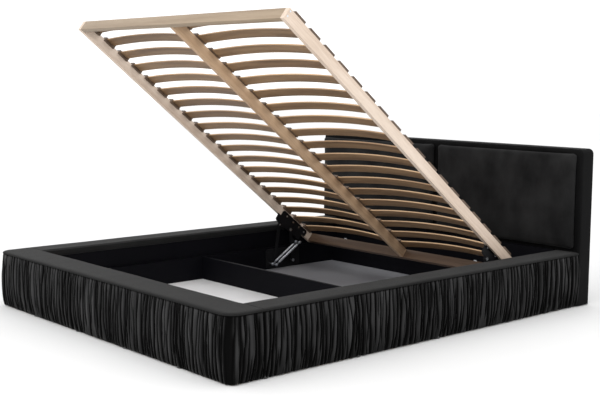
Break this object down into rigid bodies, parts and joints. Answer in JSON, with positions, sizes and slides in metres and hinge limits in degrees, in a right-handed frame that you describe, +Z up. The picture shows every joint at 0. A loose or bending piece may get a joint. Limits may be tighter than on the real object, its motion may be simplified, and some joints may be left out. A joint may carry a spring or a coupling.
{
  "type": "upholstered storage bed",
  "caption": "Low double bed with padded velvet walls and headboard, and a sprung slat frame that lifts off a divided storage box.",
  "frame": {"origin": "on the floor at the middle of the bed's length and width", "axes": "+X to the right side seen from the foot, +Y towards the headboard, +Z up"},
  "size_m": [1.93, 2.35, 1.4314],
  "materials": {
    "velvet_gathered": "short-pile black velvet gathered into upright pleats over foam",
    "velvet_band": "smooth black velvet over thin foam",
    "velvet_headboard": "smooth black velvet over foam",
    "black_board": "chipboard with a black matt melamine face",
    "bare_board": "raw chipboard, hidden under the upholstery",
    "white_board": "thin board with a white satin face",
    "felt_feet": "pressed felt glides",
    "black_steel": "black powder coat, satin",
    "bright_steel": "bright zinc plate",
    "rail_wood": "pale planed birch, thin clear lacquer",
    "slat_wood": "laminated beech strip, thin clear lacquer",
    "cap_plastic": "moulded dark brown plastic"
  },
  "bodies": {
    "base": {"side_inner_board_left": "black_board", "side_inner_board_right": "black_board", "side_outer_board_left": "bare_board", "side_outer_board_right": "bare_board", "foot_inner_board": "black_board", "foot_outer_board": "bare_board", "rail_spacers": "bare_board", "rail_top_boards": "bare_board", "side_cover_left": "velvet_gathered", "side_cover_right": "velvet_gathered", "foot_cover": "velvet_gathered", "side_top_pad_left": "velvet_band", "side_top_pad_right": "velvet_band", "foot_top_pad": "velvet_band", "head_wall_panel": "black_board", "headboard_front_board": "bare_board", "headboard_posts": "bare_board", "headboard_shell": "velvet_headboard", "headboard_cushion_left": "velvet_headboard", "headboard_cushion_right": "velvet_headboard", "ledge_board_left": "black_board", "ledge_board_right": "black_board", "ledge_board_foot": "black_board", "ledge_board_head": "black_board", "divider": "black_board", "floor_panel_foot": "white_board", "floor_panel_head": "white_board", "feet": "felt_feet", "corner_brackets": "black_steel", "corner_bolts": "bright_steel", "base_plate_left": "black_steel", "base_plate_right": "black_steel", "base_plate_screws": "black_steel", "base_pivot_pins": "bright_steel"},
    "front_links": {"front_link_left": "black_steel", "front_link_right": "black_steel"},
    "slat_frame": {"frame_rail_left": "rail_wood", "frame_rail_right": "rail_wood", "frame_rail_centre": "rail_wood", "frame_rail_foot": "rail_wood", "frame_rail_head": "rail_wood", "slats_left": "slat_wood", "slats_right": "slat_wood", "slat_caps_left": "cap_plastic", "slat_caps_right": "cap_plastic", "slat_caps_centre": "cap_plastic", "frame_screws": "bright_steel", "stop_pins": "bright_steel", "lift_bracket_left": "black_steel", "lift_bracket_right": "black_steel", "bracket_bolts": "bright_steel", "front_link_pins": "bright_steel"},
    "rear_links": {"rear_link_left": "black_steel", "rear_link_right": "black_steel", "rear_link_rivets": "bright_steel"},
    "spring_swings": {"spring_hooks": "bright_steel"},
    "spring_pulls": {"spring_yokes": "bright_steel", "spring_coils_left": "bright_steel", "spring_coils_right": "bright_steel"}
  },
  "joints": [
    {"name": "lift", "type": "hinge", "parent": "base", "child": "front_links", "pos_m": [0, 0.51, 0.05], "axis": [1, 0, 0], "range_deg": [-68.4, 0]},
    {"name": "frame_tilt", "type": "hinge", "parent": "front_links", "child": "slat_frame", "pos_m": [0, 0.5486, 0.28236], "axis": [1, 0, 0], "range_deg": [0, 106.71]},
    {"name": "rear_lift", "type": "hinge", "parent": "base", "child": "rear_links", "pos_m": [0, 0.646, 0.06], "axis": [1, 0, 0], "range_deg": [-77.49, 0]},
    {"name": "spring_swing", "type": "hinge", "parent": "base", "child": "spring_swings", "pos_m": [0, 0.477, 0.057], "axis": [1, 0, 0], "range_deg": [-29.39, 0]},
    {"name": "spring_stretch", "type": "slide", "parent": "spring_swings", "child": "spring_pulls", "axis": [0, 0.8467, 0.5321], "range_m": [0, 0.0657], "deforming": ["spring_coils_left", "spring_coils_right"]}
  ],
  "couplings": [
    {"joint": "frame_tilt", "follows": "lift", "ratio": -1.5599},
    {"joint": "rear_lift", "follows": "lift", "ratio": 1.1327},
    {"joint": "spring_swing", "follows": "lift", "ratio": 0.42948},
    {"joint": "spring_stretch", "follows": "lift", "m_per_rad": -0.054922}
  ]
}
